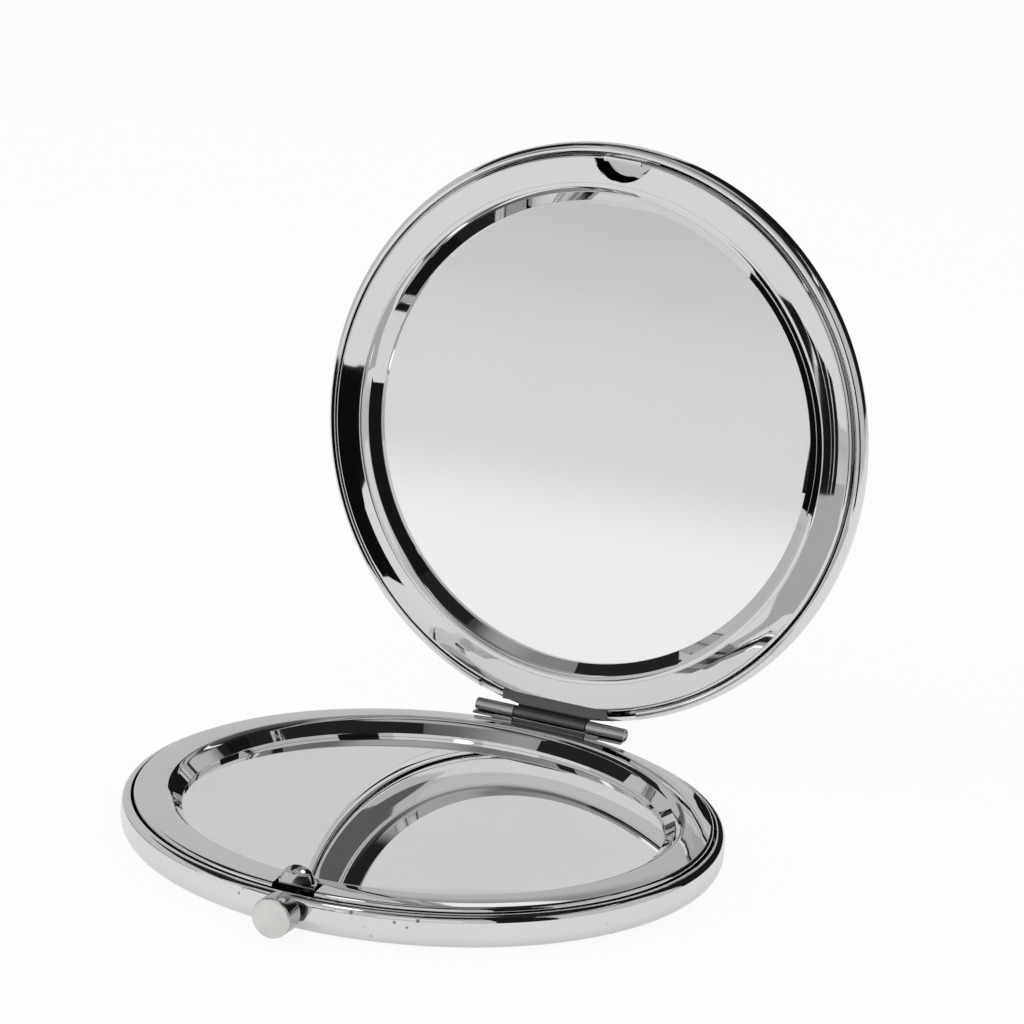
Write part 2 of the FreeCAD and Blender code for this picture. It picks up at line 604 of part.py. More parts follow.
rivet_hole = new_sketch(latch_slider, "rivet_hole", "XZ_Plane")
circle(rivet_hole, "0", BUTTON_Z, "Sizes.rivet_diameter / 2 + Sizes.rivet_fit")
pocket(latch_slider, rivet_hole, "2 * Sizes.shell_radius", reverse=True)

latch_guide = new_body("latch_guide")
guide_block = new_sketch(latch_guide, "block", "XY_Plane", lift="Sizes.shell_sheet")
rectangle(guide_block, f"-{GUIDE_SIDE}", f"-{GUIDE_FRONT}", GUIDE_SIDE, f"-{GUIDE_BACK}")
pad(latch_guide, guide_block, "Sizes.guide_wall")
channel = new_sketch(latch_guide, "channel", "XY_Plane", lift=GUIDE_FLOOR)
rectangle(channel, f"-{GUIDE_HALF}", f"-2 * {GUIDE_FRONT}", GUIDE_HALF, f"-{GUIDE_INSIDE}")
pocket(latch_guide, channel, "2 * Sizes.guide_wall", reverse=True)
for side in (-1, 1):
    keeper = new_sketch(latch_guide, f"keeper_{'left' if side < 0 else 'right'}", "XY_Plane",
                        lift=f"{FOOT_TOP} + Sizes.foot_play")
    rectangle(keeper, f"{side} * ({GUIDE_HALF} - Sizes.keeper_width)", f"-{GUIDE_FRONT}",
              f"{side} * {GUIDE_SIDE}", f"-{GUIDE_FRONT} + Sizes.keeper_length")
    pad(latch_guide, keeper, "Sizes.guide_sheet")


def coil(label):
    """Return spring: one round wire swept along quarter-turn arcs of its helix."""
    mean_radius = value("(Sizes.spring_diameter - Sizes.spring_wire) / 2")
    wire_radius = value("Sizes.spring_wire / 2")
    first = value(f"-{HOOK_BACK} + Sizes.spring_wire / 2 + Sizes.spring_end_play")
    last = value(f"-{GUIDE_INSIDE} - Sizes.spring_wire / 2 - Sizes.spring_end_play")
    axis_height = value(BUTTON_Z)
    quarters = round(4 * value("Sizes.spring_turns"))

    def on_helix(step):
        turn = math.pi / 2 * step
        along = first + (last - first) * step / quarters
        return FreeCAD.Vector(mean_radius * math.cos(turn), along,
                              axis_height + mean_radius * math.sin(turn))

    arcs = [Part.Arc(on_helix(step), on_helix(step + 0.5), on_helix(step + 1)).toShape()
            for step in range(quarters)]
    path = Part.Wire(arcs)
    heading = arcs[0].tangentAt(arcs[0].FirstParameter)
    ring = Part.Wire([Part.makeCircle(wire_radius, on_helix(0), heading)])
    pipe = Part.BRepOffsetAPI.MakePipeShell(path)
    pipe.add(ring)
    pipe.build()
    pipe.makeSolid()
    pitch = (last - first) / value("Sizes.spring_turns")
    print(f"spring gap between turns {pitch - 2 * wire_radius:.2f} mm")
    spring = doc.addObject("Part::Feature", label)
    spring.Label = label
    spring.Shape = pipe.shape()
    spring.Placement = FreeCAD.Placement()
    return spring


latch_spring = coil("latch_spring")

SUB_PARTS = [base_shell, base_frame, base_mirror, base_foam_pad, base_hinge_leaf, hinge_pin,
             latch_guide, latch_spring, latch_button, latch_slider,
             lid_shell, lid_frame, lid_mirror, lid_foam_pad, lid_hinge_leaf]

doc.recompute()
for item in doc.Objects:
    if "Invalid" in item.State or "Error" in item.State:
        raise RuntimeError(f"{item.Label} failed to build")
for part in SUB_PARTS:
    if part.Shape.isNull() or not part.Shape.isValid() or len(part.Shape.Solids) != 1:
        raise RuntimeError(f"{part.Label} is not one sound solid")

os.makedirs("parts", exist_ok=True)
for part in SUB_PARTS:
    part.Shape.exportStep(f"parts/{part.Label}.step")
    box = part.Shape.BoundBox
    print(f"{part.Label}: {part.Shape.Volume:.2f} mm3,"
          f" x {box.XMin:.2f} to {box.XMax:.2f},"
          f" y {box.YMin:.2f} to {box.YMax:.2f}, z {box.ZMin:.2f} to {box.ZMax:.2f}")
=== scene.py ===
# %% [markdown]
# # A round compact mirror
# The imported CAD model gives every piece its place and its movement. This lesson dresses it:
# each polished piece is modelled again with a smooth surface, because plating shows every
# facet of a coarse mesh, and each gets the finish of the real one. Blender works in metres,
# and the sizes of the pieces are written in millimetres, as on a drawing.

# %% Load the frame
import math
import bmesh
import bpy
from mathutils import Matrix, Vector


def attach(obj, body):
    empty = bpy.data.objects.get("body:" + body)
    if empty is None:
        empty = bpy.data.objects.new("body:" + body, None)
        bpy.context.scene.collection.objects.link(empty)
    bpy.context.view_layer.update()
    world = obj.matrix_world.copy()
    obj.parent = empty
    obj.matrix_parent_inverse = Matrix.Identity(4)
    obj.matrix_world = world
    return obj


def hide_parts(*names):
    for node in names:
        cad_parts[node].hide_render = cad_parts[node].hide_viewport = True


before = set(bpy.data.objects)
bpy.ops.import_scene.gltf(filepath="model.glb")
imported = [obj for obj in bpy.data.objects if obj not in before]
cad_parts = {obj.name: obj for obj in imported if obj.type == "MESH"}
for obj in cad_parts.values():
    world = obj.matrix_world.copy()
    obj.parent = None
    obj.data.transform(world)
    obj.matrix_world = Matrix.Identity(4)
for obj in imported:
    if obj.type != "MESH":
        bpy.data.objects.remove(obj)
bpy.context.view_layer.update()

# %% [markdown]
# ## Sections
# The cups, rings, glasses, button and pin are all round, so each is one section turned about
# an axis. The section could be a curve with a bevel, but a wire of corners keeps the real
# sizes readable, and a vertex bevel gives each corner the round that the press tool gives.

# %% Section wire with rounded corners
MM = 0.001
ROUND_SEGMENTS = 8


def section(corners, closed):
    """Wire through (radius, height) corners in millimetres; a third number is a round."""
    bm = bmesh.new()
    points = [bm.verts.new((corner[0] * MM, 0, corner[1] * MM)) for corner in corners]
    for first, second in zip(points, points[1:]):
        bm.edges.new((first, second))
    if closed:
        bm.edges.new((points[-1], points[0]))
    for corner, point in zip(corners, points):
        if len(corner) == 3:
            before, after = (edge.other_vert(point).co - point.co for edge in point.link_edges)
            tangent = corner[2] * MM / math.tan(before.angle(after) / 2)
            bmesh.ops.bevel(bm, geom=[point], offset=tangent, offset_type="OFFSET",
                            segments=ROUND_SEGMENTS, profile=0.5, affect="VERTICES",
                            material=-1)
    return bm


print("segments in a rounded corner:", ROUND_SEGMENTS)

# %% [markdown]
# ## Turned forms
# Turning is one spin of the wire through a full circle. A Screw modifier could turn it too,
# but the spin leaves plain faces that the next steps can cut. The points on the axis fall
# together and are merged, and the normals are recalculated, because a spin can leave a form
# inside out.

# %% Full turn
TURN_STEPS = 240
MERGE = 0.0005 * MM


def turned(corners, closed=False, steps=TURN_STEPS):
    """Section spun once round the Z axis, with its seam and poles merged."""
    bm = section(corners, closed)
    bmesh.ops.spin(bm, geom=bm.verts[:] + bm.edges[:], cent=(0, 0, 0), axis=(0, 0, 1),
                   angle=2 * math.pi, steps=steps, use_merge=True)
    bmesh.ops.remove_doubles(bm, verts=bm.verts, dist=MERGE)
    bmesh.ops.recalc_face_normals(bm, faces=bm.faces)
    return bm


print("steps in a full turn:", TURN_STEPS)

# %% [markdown]
# ## Punches
# The press tool also pierces the sheet: notches, slots and windows. Its punches are square or
# round. A cube and a cone with two equal ends, brought to size and place, are enough for
# them, because only the edge that they cut is ever seen.

# %% Blocks and rods
ROD_SEGMENTS = 96


def block(low, high):
    """Box between two corners in millimetres."""
    bm = bmesh.new()
    bmesh.ops.create_cube(bm, size=1)
    size = [(b - a) * MM for a, b in zip(low, high)]
    middle = [(a + b) / 2 * MM for a, b in zip(low, high)]
    bmesh.ops.scale(bm, vec=size, verts=bm.verts)
    bmesh.ops.translate(bm, vec=middle, verts=bm.verts)
    return bm


def rod(x, y, radius, low, high, segments=ROD_SEGMENTS):
    """Upright rod between two heights in millimetres."""
    bm = bmesh.new()
    bmesh.ops.create_cone(bm, cap_ends=True, segments=segments, radius1=radius * MM,
                          radius2=radius * MM, depth=(high - low) * MM)
    bmesh.ops.translate(bm, vec=(x * MM, y * MM, (low + high) / 2 * MM), verts=bm.verts)
    return bm


print("sides of a round punch:", ROD_SEGMENTS)

# %% [markdown]
# ## Cutting and joining
# A boolean of two closed forms leaves the clean edge of a punch. Cutting faces by hand would
# also work, but leaves the sheet open at its edge, and the boolean closes it. The modifier
# works on objects, so two passing objects hold the forms while it runs.

# %% Booleans
SOLVER = "EXACT"


def loose(bm, name):
    """Object that holds a form only while a boolean needs it."""
    mesh = bpy.data.meshes.new(name)
    bm.to_mesh(mesh)
    bm.free()
    holder = bpy.data.objects.new(name, mesh)
    bpy.context.scene.collection.objects.link(holder)
    return holder


def boolean(form, tool, operation="DIFFERENCE"):
    """New form from two closed ones."""
    work = loose(form, "work")
    knife = loose(tool, "knife")
    cut = work.modifiers.new("cut", "BOOLEAN")
    cut.operation = operation
    cut.solver = SOLVER
    cut.object = knife
    result = bmesh.new()
    result.from_object(work, bpy.context.evaluated_depsgraph_get())
    for holder in (work, knife):
        mesh = holder.data
        bpy.data.objects.remove(holder)
        bpy.data.meshes.remove(mesh)
    return result


print("boolean solver:", SOLVER)

# %% [markdown]
# ## From form to piece
# A piece sits at the origin with its place in its mesh, rides on its CAD body and stands for
# its CAD node. Smooth shading with sharp corners kept, and normals weighted by face area, make
# flat bands reflect as flat bands right up to their rounded edges.

# %% Piece maker
SHARP = math.radians(35)


def piece(bm, name, body, finish):
    """Object of a finished form that rides on its body and stands for the node of its name."""
    mesh = bpy.data.meshes.new(name)
    bm.to_mesh(mesh)
    bm.free()
    mesh.shade_smooth()
    mesh.set_sharp_from_angle(angle=SHARP)
    made = bpy.data.objects.new(name + "_dressed", mesh)
    bpy.context.scene.collection.objects.link(made)
    normals = made.modifiers.new("weighted normals", "WEIGHTED_NORMAL")
    normals.keep_sharp = True
    mesh.materials.append(finish)
    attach(made, body)
    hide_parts(name)
    print(f"{name}: {len(mesh.polygons)} faces")
    return made


print("corners stay sharp from", round(math.degrees(SHARP)), "degrees")

# %% [markdown]
# ## Shader arithmetic
# Finishes mix noise, masks and constants. Their nodes could be added and linked one by one,
# but that hides the sums. A small class wraps a socket, so that the maths reads as arithmetic,
# and one method adds any other node.

# %% Wires
class Wire:
    """A shader socket that takes part in Python arithmetic."""

    def __init__(self, tree, socket):
        self.tree = tree
        self.socket = socket

    def node(self, kind, settings=None, inputs=None, output=0):
        """Any node: settings first, then values or links of its sockets."""
        made = self.tree.nodes.new(kind)
        for name, setting in (settings or {}).items():
            setattr(made, name, setting)
        for name, given in (inputs or {}).items():
            if isinstance(given, Wire):
                self.tree.links.new(given.socket, made.inputs[name])
            else:
                made.inputs[name].default_value = given
        return Wire(self.tree, made.outputs[output])

    def math(self, operation, first, second):
        """One Math node on two values."""
        return self.node("ShaderNodeMath", {"operation": operation}, {0: first, 1: second})

    def __add__(self, other):
        return self.math("ADD", self, other)

    def __radd__(self, other):
        return self.math("ADD", other, self)

    def __sub__(self, other):
        return self.math("SUBTRACT", self, other)

    def __rsub__(self, other):
        return self.math("SUBTRACT", other, self)

    def __mul__(self, other):
        return self.math("MULTIPLY", self, other)

    def __rmul__(self, other):
        return self.math("MULTIPLY", other, self)

    def along(self, axis):
        """X, Y or Z of a place."""
        return self.node("ShaderNodeSeparateXYZ", None, {"Vector": self}, axis)

    def step(self, low, high):
        """Smooth rise from 0 at low to 1 at high."""
        return self.node("ShaderNodeMapRange", {"interpolation_type": "SMOOTHSTEP"},
                         {"Value": self, "From Min": low, "From Max": high})

    def noise(self, scale, detail):
        """Noise over a place, about 0.5 in the middle."""
        return self.node("ShaderNodeTexNoise", None,
                         {"Vector": self, "Scale": scale, "Detail": detail})

    def cells(self, scale):
        """Distance from the middle of the nearest cell."""
        return self.node("ShaderNodeTexVoronoi", None, {"Vector": self, "Scale": scale})

    def bump(self, strength, height):
        """Normal of a surface that this value raises by up to a height in metres."""
        return self.node("ShaderNodeBump", None,
                         {"Height": self, "Strength": strength, "Distance": height})

    def blend(self, first, second):
        """Colour that goes from first to second as this value rises."""
        return self.node("ShaderNodeMix", {"data_type": "RGBA"},
                         {"Factor": self, "A": first, "B": second}, "Result")

    def feed(self, shader, socket):
        """Link this wire into a shader's socket."""
        self.tree.links.new(self.socket, shader.inputs[socket])


print("a wire adds, subtracts and multiplies, and makes any other node")

# %% [markdown]
# Every finish starts alike: a node material with its Principled shader, and a wire of Object
# coordinates. These are metres from the origin, where every piece sits, so a pattern keeps
# its scale and stays on the surface when a joint moves.

# %% Blank finish
MICRON = 0.001 * MM


def new_finish(name, metallic=0.0):
    """Node material with its shader and a wire of Object coordinates."""
    finish = bpy.data.materials.new(name)
    finish.use_nodes = True
    tree = finish.node_tree
    shader = tree.nodes["Principled BSDF"]
    shader.inputs["Metallic"].default_value = metallic
    place = Wire(tree, tree.nodes.new("ShaderNodeTexCoord").outputs["Object"])
    return finish, shader, place


def grey(level):
    """Neutral colour of one level."""
    return (level, level, level, 1)


print("heights of bumps are given in microns of", MICRON, "m")

# %% [markdown]
# ## Bright plating
# The shells and frames are polished, nickelled and chromed. Chrome is a neutral mirror:
# metallic, with almost no roughness. What tells it from a computed mirror is a faint
# unevenness of the pressed sheet, a haze of handling and a few plating pits. The lid's back
# and the frames have no pits, the hinge is duller, and the lid's leaf is nearly black, because
# in the photograph it lies in a gap that no light reaches.

# %% Plating finish
HANDLING_SCALE, WAVE_SCALE = 70.0, 220.0
PIT_SCALE, PATCH_SCALE = 700.0, 160.0
HANDLED = 0.97
PIT_COLOUR = (0.16, 0.15, 0.14, 1)


def plating(name, colour, haze, waves, pits):
    """Chrome plate: its roughness, the unevenness of its sheet in microns, and its pits."""
    finish, shader, place = new_finish(name, metallic=1.0)
    handling = place.noise(HANDLING_SCALE, 3.0).step(0.35, 0.75)
    patches = place.noise(PATCH_SCALE, 0.0).step(0.62, 0.7)
    pit = (1 - place.cells(PIT_SCALE).step(0.1, 0.2)) * patches * pits
    shade = handling.blend((*colour, 1), (*[c * HANDLED for c in colour], 1))
    pit.blend(shade, PIT_COLOUR).feed(shader, "Base Color")
    (haze + haze * 0.6 * handling + 0.3 * pit).feed(shader, "Roughness")
    place.noise(WAVE_SCALE, 1.0).bump(1.0, waves * MICRON).feed(shader, "Normal")
    return finish


shell_plating = plating("shell_plating", (0.76, 0.76, 0.755), 0.045, 4, 1.0)
lid_plating = plating("lid_plating", (0.76, 0.76, 0.755), 0.045, 4, 0.0)
frame_plating = plating("frame_plating", (0.73, 0.73, 0.725), 0.02, 2, 0.0)
hinge_plating = plating("hinge_plating", (0.42, 0.42, 0.415), 0.08, 6, 0.4)
# The leaf's near-black colour is painted shade for the gap it lies in.
shaded_leaf_plating = plating("shaded_leaf_plating", (0.12, 0.12, 0.118), 0.12, 6, 0.4)
print("plating finishes:", shell_plating.name, lid_plating.name, frame_plating.name,
      hinge_plating.name, shaded_leaf_plating.name)

# %% [markdown]
# ## Silvered glass
# The mirror is glass silvered on its back. It could be a clear glass over a silver sheet, but
# at this size the glass itself hardly shows, so one clean metallic mirror with a breath of
# dust gives the same look.

# %% Glass finish
DUST_SCALE = 90.0


def silvered_glass():
    """Flat silvered mirror with a trace of dust."""
    finish, shader, place = new_finish("silvered_glass", metallic=1.0)
    dust = place.noise(DUST_SCALE, 4.0).step(0.4, 0.8)
    dust.blend((0.92, 0.925, 0.92, 1), (0.90, 0.905, 0.90, 1)).feed(shader, "Base Color")
    (0.004 + 0.01 * dust).feed(shader, "Roughness")
    return finish


glass_finish = silvered_glass()
print("mirror finish:", glass_finish.name)

# %% [markdown]
# ## Nickel
# The button and the hook are nickelled, which is warmer than chrome. The face of the button
# is satin. Its turned side is smoother, and its colour is darkened as painted shade. Its back,
# where it faces the shell, is rougher and painted nearly black as a painted shadow. These bands
# could be three materials, but one material that reads how far forward a point lies needs no
# split mesh. The hook has the finish of the turned side alone, painted shade included.

# %% Nickel finish
BUTTON_FACE, BUTTON_SHADOW_EDGE = 38.7, 36.1
BAND_SOFTNESS = 0.1
WEAR_SCALE, GRAIN_SCALE = 400.0, 2500.0
# The side colour is darkened as painted shade, and the back colour is nearly black, a painted
# shadow.
SHADED_SIDE_NICKEL, SHADOW_NICKEL = (0.52, 0.51, 0.495, 1), (0.16, 0.155, 0.15, 1)


def nickel(name, satin_from, shadow_before):
    """Nickel, satin in front of one place, with painted shade on the side and a painted shadow
    behind another, in millimetres.
    """
    finish, shader, place = new_finish(name, metallic=1.0)
    forward = -1 * place.along("Y")
    face, not_shadowed = (forward.step((edge - BAND_SOFTNESS) * MM, (edge + BAND_SOFTNESS) * MM)
                      for edge in (satin_from, shadow_before))
    # Painted shadow on the back, behind the given place.
    shadowed_back = 1 - not_shadowed
    wear = place.noise(WEAR_SCALE, 4.0).step(0.35, 0.7)
    worn = wear.blend((0.74, 0.73, 0.71, 1), (0.68, 0.665, 0.645, 1))
    shadowed_back.blend(face.blend(SHADED_SIDE_NICKEL, worn), SHADOW_NICKEL).feed(shader, "Base Color")
    (0.07 + 0.05 * wear + 0.25 * face + 0.2 * shadowed_back).feed(shader, "Roughness")
    place.noise(GRAIN_SCALE, 2.0).bump(0.6, 3 * MICRON).feed(shader, "Normal")
    return finish


button_nickel = nickel("button_nickel", BUTTON_FACE, BUTTON_SHADOW_EDGE)
# The hook takes the side colour all over, with its painted shade.
hook_nickel = nickel("hook_nickel", satin_from=50, shadow_before=0)
print("nickel finishes:", button_nickel.name, hook_nickel.name)

# %% [markdown]
# ## Steel and foam
# The guide is cold-rolled strip and the spring is wire, both bare steel: grey, with the
# cloudy mill finish of stock. The pads are white closed-cell foam, whose cells show both as
# small bumps and as a change of tone, so one cell pattern drives both.

# %% Steel and foam finishes
MILL_SCALE, CELL_SCALE = 600.0, 1800.0


def bare_steel():
    """Cold-rolled strip and spring wire."""
    finish, shader, place = new_finish("bare_steel", metallic=1.0)
    mill = place.noise(MILL_SCALE, 3.0).step(0.3, 0.7)
    mill.blend((0.58, 0.58, 0.58, 1), (0.47, 0.47, 0.48, 1)).feed(shader, "Base Color")
    (0.3 + 0.15 * mill).feed(shader, "Roughness")
    return finish


def pad_foam():
    """Closed-cell foam."""
    finish, shader, place = new_finish("pad_foam")
    shader.inputs["Roughness"].default_value = 0.95
    cells = place.cells(CELL_SCALE)
    cells.blend((0.70, 0.70, 0.67, 1), (0.80, 0.80, 0.78, 1)).feed(shader, "Base Color")
    cells.bump(0.8, 200 * MICRON).feed(shader, "Normal")
    return finish


steel_finish = bare_steel()
foam_finish = pad_foam()
print("hidden finishes:", steel_finish.name, foam_finish.name)

# %% [markdown]
# ## Place of the lid
# The lid is drawn like the base, flat on its back with the hinge at the rear, and then swung
# up about the hinge to the angle at which it stands in the photograph. It could be drawn
# standing, but then none of its sizes could be read, and one matrix swings every piece.

# %% Lid matrix
BASE_HEIGHT = 4.9
LID_HEIGHT = 4.0
HALF_GAP = 0.1
HINGE_Y = 35.2
LID_ANGLE = 96.5
hinge_point = Vector((0, HINGE_Y, BASE_HEIGHT + HALF_GAP)) * MM
lid_axis = Vector((0, HINGE_Y, -(LID_HEIGHT + HALF_GAP))) * MM
lid_place = (Matrix.Translation(hinge_point)
             @ Matrix.Rotation(math.radians(180 - LID_ANGLE), 4, "X")
             @ Matrix.Translation(lid_axis) @ Matrix.Rotation(math.pi, 4, "Z"))


def swung(bm):
    """Form of the lid, swung up into place."""
    bmesh.ops.transform(bm, matrix=lid_place, verts=bm.verts)
    return bm


print("lid stands at", LID_ANGLE, "degrees")

# %% [markdown]
# ## Shells
# Each shell is drawn from half-millimetre sheet: flat back, rounded edge, straight wall and a
# rim that turns in over the frame. A disc with a Solidify modifier would give the sheet too,
# but the section of both faces sets every inner round. A notch at the rear clears the hinge.

# %% Pressed shells
SHELL_RADIUS, SHELL_INSIDE, SHELL_SHEET = 35, 34.5, 0.5
RIM_RADIUS, RIM_BELOW = 33.95, 0.8
BACK_ROUND, BACK_ROUND_INSIDE = 1.6, 1.1
RIM_ROUND, RIM_ROUND_INSIDE, SHEET_ROUND = 0.92, 0.44, 0.1
HINGE_HALF, KNUCKLE_RADIUS = 9.85, 0.8
NOTCH_FROM, NOTCH_BELOW = 1, 1.1
BEYOND = 40


def pressed_shell(height, notch_room):
    """Cup of one half with its hinge notch."""
    rim = height - RIM_BELOW
    under = rim - SHELL_SHEET
    cup = turned([(0, 0), (SHELL_RADIUS, 0, BACK_ROUND), (SHELL_RADIUS, rim, RIM_ROUND),
                  (RIM_RADIUS, rim, SHEET_ROUND), (RIM_RADIUS, under, SHEET_ROUND),
                  (SHELL_INSIDE, under, RIM_ROUND_INSIDE),
                  (SHELL_INSIDE, SHELL_SHEET, BACK_ROUND_INSIDE), (0, SHELL_SHEET)])
    notch_floor = height + HALF_GAP - KNUCKLE_RADIUS - NOTCH_BELOW
    notch_half = HINGE_HALF + notch_room
    notch = block((-notch_half, NOTCH_FROM, notch_floor), (notch_half, BEYOND, 2 * height))
    return boolean(cup, notch)


print("shells are", 2 * SHELL_RADIUS, "mm across")

# %% [markdown]
# The base shell also has a hole for the button's stem. The drill is an upright rod laid
# forward by the matrix that lays the button down later, so hole and stem share one axis.

# %% Shells with the stem hole
BUTTON_Z = 2.57
DRILL_RADIUS, DRILL_FROM, DRILL_SEGMENTS = 0.95, 30, 48
BASE_NOTCH_ROOM, LID_NOTCH_ROOM = 2.0, 0.6
button_place = (Matrix.Translation((0, 0, BUTTON_Z * MM))
                @ Matrix.Rotation(math.pi / 2, 4, "X"))
base_cup = pressed_shell(BASE_HEIGHT, BASE_NOTCH_ROOM)
stem_drill = rod(0, 0, DRILL_RADIUS, DRILL_FROM, BEYOND, DRILL_SEGMENTS)
bmesh.ops.transform(stem_drill, matrix=button_place, verts=stem_drill.verts)
base_cup = boolean(base_cup, stem_drill)
piece(base_cup, "base_shell", "base", shell_plating)
lid_cup = pressed_shell(LID_HEIGHT, LID_NOTCH_ROOM)
piece(swung(lid_cup), "lid_shell", "lid", lid_plating)

# %% [markdown]
# ## Frames
# A frame holds each glass: a faintly crowned land, a soft crest, two narrow bevels down to the
# glass and a skirt that stands inside the shell. It could be one thin section, but the fold at
# the hinge would leave it open. So it is the outside form less a hollow about one sheet
# further in, each trimmed and closed along the fold.

# %% Frame forms
SKIRT_RADIUS, SKIRT_INSIDE = 33.65, 33.25
LAND_RADIUS, CREST_RADIUS, BEVEL_RADIUS = 31.8, 30.0, 29.25
LIP_RADIUS, LIP_INSIDE = 28.0, 27.6
LAND_EDGE_DROP, LAND_EDGE_DROP_INSIDE, LAND_DROP = 0.34, 0.7, 0.09
BEVEL_DROP, LIP_DROP = 0.4, 1.6
LAND_CROWN, CREST_ROUND, BEVEL_ROUND, LIP_ROUND = 16, 1.2, 1.5, 0.15
SKIRT_ROUND, SKIRT_ROUND_INSIDE, SKIRT_FOOT_ROUND = 0.5, 0.3, 0.3
FLAT_Y = 32.85
SHEET = 0.4
CUT_TOLERANCE = 0.0001 * MM


def folded(bm, flat_y):
    """Ring trimmed and closed along the straight fold at the hinge."""
    halves = bmesh.ops.bisect_plane(bm, geom=bm.verts[:] + bm.edges[:] + bm.faces[:],
                                    dist=CUT_TOLERANCE, plane_co=(0, flat_y * MM, 0),
                                    plane_no=(0, 1, 0), clear_outer=True)
    rim = [item for item in halves["geom_cut"] if isinstance(item, bmesh.types.BMEdge)]
    bmesh.ops.holes_fill(bm, edges=rim, sides=0)
    bmesh.ops.recalc_face_normals(bm, faces=bm.faces)
    return bm


def frame_outside(height):
    """Outside of a frame, solid down to the shell floor."""
    ring = turned([(SKIRT_RADIUS, SHELL_SHEET, SKIRT_FOOT_ROUND),
                   (SKIRT_RADIUS, height - LAND_EDGE_DROP, SKIRT_ROUND),
                   (LAND_RADIUS, height - LAND_DROP, LAND_CROWN),
                   (CREST_RADIUS, height, CREST_ROUND),
                   (BEVEL_RADIUS, height - BEVEL_DROP, BEVEL_ROUND),
                   (LIP_RADIUS, height - LIP_DROP, LIP_ROUND),
                   (LIP_RADIUS, SHELL_SHEET)], closed=True)
    return folded(ring, FLAT_Y)


def frame_inside(height):
    """Hollow under a frame."""
    bevel, lip = height - (BEVEL_DROP + SHEET), height - (LIP_DROP + SHEET)
    ring = turned([(SKIRT_INSIDE, 0),
                   (SKIRT_INSIDE, height - LAND_EDGE_DROP_INSIDE, SKIRT_ROUND_INSIDE),
                   (CREST_RADIUS, height - SHEET), (BEVEL_RADIUS, bevel), (LIP_RADIUS, lip),
                   (LIP_INSIDE, lip), (LIP_INSIDE, 0)], closed=True)
    return folded(ring, FLAT_Y - SHEET)


print("frames are", 2 * SKIRT_RADIUS, "mm across and open to", 2 * LIP_RADIUS, "mm")

# %% [markdown]
# ### Base frame
# The base frame is pierced by one slot, through which the hook stands up and moves back when
# the button is pressed. The slot is cut from the solid outside before the hollow is taken
# out, so that it opens into the hollow.

# %% Base frame with the hook's slot
SLOT_HALF, SLOT_BACK, SLOT_FLOOR, SLOT_TOP = 2.65, 31.25, 1.2, 10
slot = block((-SLOT_HALF, -BEYOND, SLOT_FLOOR), (SLOT_HALF, -SLOT_BACK, SLOT_TOP))
base_ring = boolean(frame_outside(BASE_HEIGHT), slot)
base_ring = boolean(base_ring, frame_inside(BASE_HEIGHT))
piece(base_ring, "base_frame", "base", frame_plating)

# %% [markdown]
# ### Lid frame
# The lid frame has a half-moon opening that takes the hook, a window in the skirt and a small
# striker tab over it. The opening is a rod kept inside the skirt's circle and cut through the
# land, so that the dark hollow shows under its edge. A thin tongue of a similar outline lies
# at the bottom of the opening, where the photograph shows grey.

# %% Lid frame with the hook opening
OPENING_Y, OPENING_RADIUS, OPENING_TOP = -34.75, 4.1, 12
TONGUE_RADIUS, TONGUE_REACH, TONGUE_TOP = 3.5, 33.45, 1.65
WINDOW_HALF, WINDOW_BOTTOM, WINDOW_BACK = 2.7, 1.25, 32.9
STRIKER_HALF, STRIKER_LOW, STRIKER_HIGH, STRIKER_FRONT = 2.4, 3.2, 3.7, 33.45
CIRCLE_TOP = 14


def half_moon(radius, top, reach):
    """Rod at the front of the lid, kept within a circle about the middle."""
    return boolean(rod(0, OPENING_Y, radius, WINDOW_BOTTOM, top),
                   rod(0, 0, reach, 0, CIRCLE_TOP, TURN_STEPS), "INTERSECT")


window = block((-WINDOW_HALF, -BEYOND, WINDOW_BOTTOM), (WINDOW_HALF, -WINDOW_BACK, STRIKER_LOW))
striker = block((-STRIKER_HALF, -STRIKER_FRONT, STRIKER_LOW),
                (STRIKER_HALF, -WINDOW_BACK, STRIKER_HIGH))
opening = half_moon(OPENING_RADIUS, OPENING_TOP, SKIRT_INSIDE)
lid_ring = boolean(frame_outside(LID_HEIGHT), opening)
lid_ring = boolean(lid_ring, window)
lid_ring = boolean(lid_ring, striker, "UNION")
lid_ring = boolean(lid_ring, frame_inside(LID_HEIGHT))
tongue = half_moon(TONGUE_RADIUS, TONGUE_TOP, TONGUE_REACH)
lid_ring = boolean(lid_ring, tongue, "UNION")
piece(swung(lid_ring), "lid_frame", "lid", frame_plating)

# %% [markdown]
# ## Glasses and pads
# Each glass is a plain disc with a ground edge, held up against the frame's lip by a foam pad
# on the shell floor. The pads are never seen, but they are soft and get their own form: a disc
# with full rounded edges. Both are turned like the shells, so their edges are true rounds.

# %% Mirrors and foam pads
GLASS_RADIUS, GLASS_THICKNESS, GLASS_BELOW, GLASS_ROUND = 28.6, 1.0, 2.02, 0.2
PAD_RADIUS, PAD_CLEAR, PAD_ROUND, PAD_STEPS = 28.4, 0.02, 0.15, 120


def glass_disc(height):
    """Round glass under the frame's lip."""
    top = height - GLASS_BELOW
    back = top - GLASS_THICKNESS
    return turned([(0, back), (GLASS_RADIUS, back, GLASS_ROUND),
                   (GLASS_RADIUS, top, GLASS_ROUND), (0, top)])


